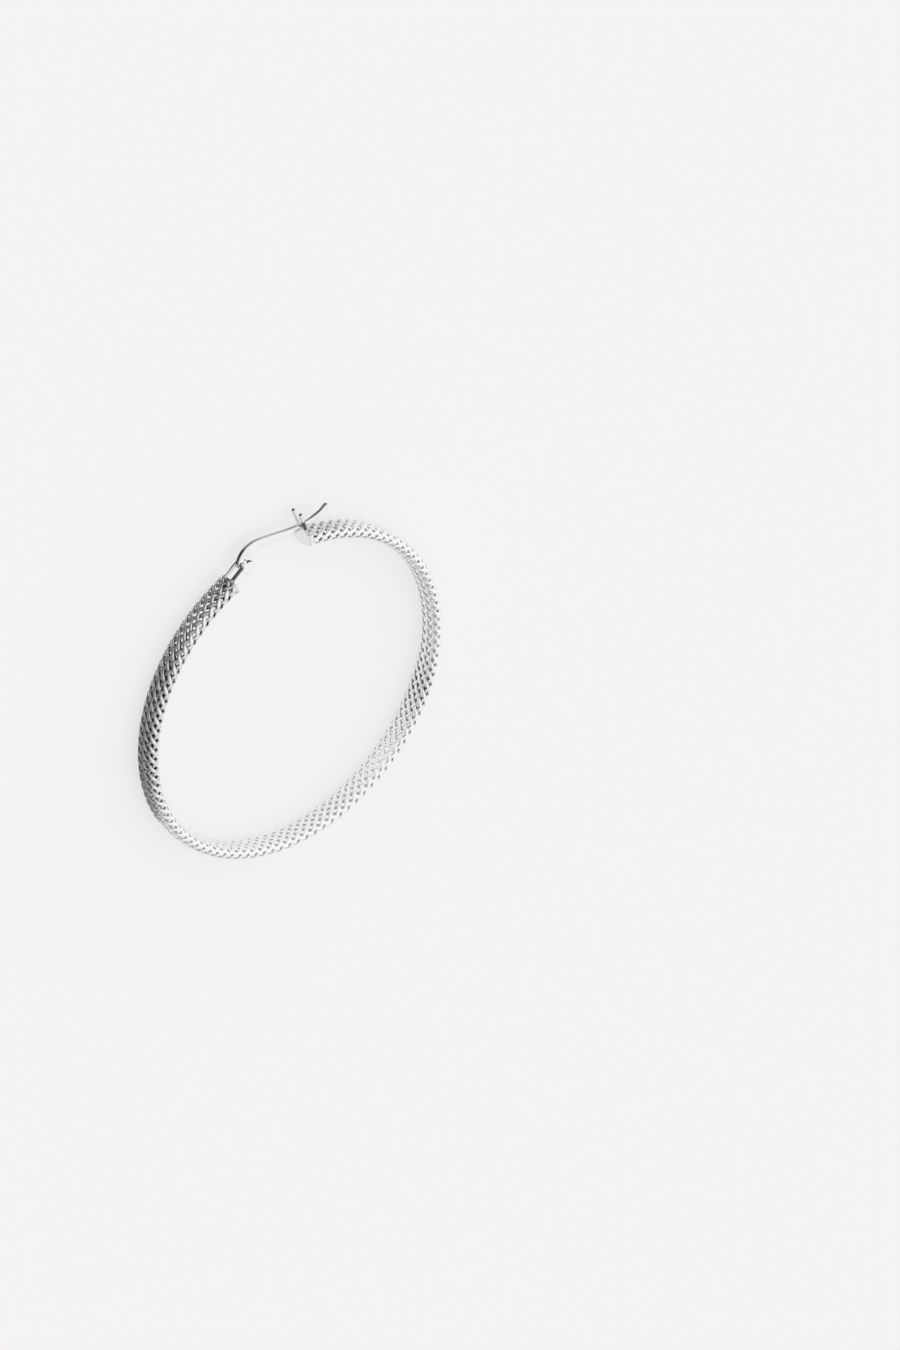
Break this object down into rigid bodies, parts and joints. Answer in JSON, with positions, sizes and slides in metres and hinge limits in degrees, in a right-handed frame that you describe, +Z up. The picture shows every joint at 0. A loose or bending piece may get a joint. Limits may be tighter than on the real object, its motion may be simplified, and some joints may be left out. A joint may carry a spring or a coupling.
{
  "type": "hoop earring",
  "caption": "Round hoop earring of flattened knitted silver tube with end caps and a flat hinged ear wire that snaps into a two-pronged catch.",
  "frame": {"origin": "on the surface that the hoop lies on, under the middle of the earring's whole outline seen from above", "axes": "+Z up along the hoop's own axis, +Y from the hoop's centre towards the ear wire, +X from the hinge towards the catch"},
  "size_m": [0.05, 0.0528, 0.0037],
  "materials": {
    "knitted_silver": "fine knitted silver wire, bright on the crowns and dark in the gaps",
    "polished_silver": "polished silver wire and plate",
    "ear_wire_silver": "polished flat silver strip with softly rounded edges"
  },
  "bodies": {
    "hoop": {"hoop_tube": "knitted_silver", "hinge_cap": "polished_silver", "catch_cap": "polished_silver"},
    "ear_wire": {"ear_wire": "ear_wire_silver"}
  },
  "joints": [
    {"name": "ear_wire_hinge", "type": "hinge", "parent": "hoop", "child": "ear_wire", "pos_m": [-0.00415, 0.02376, 0.00187], "axis": [0, 0, 1], "range_deg": [0, 90]}
  ]
}
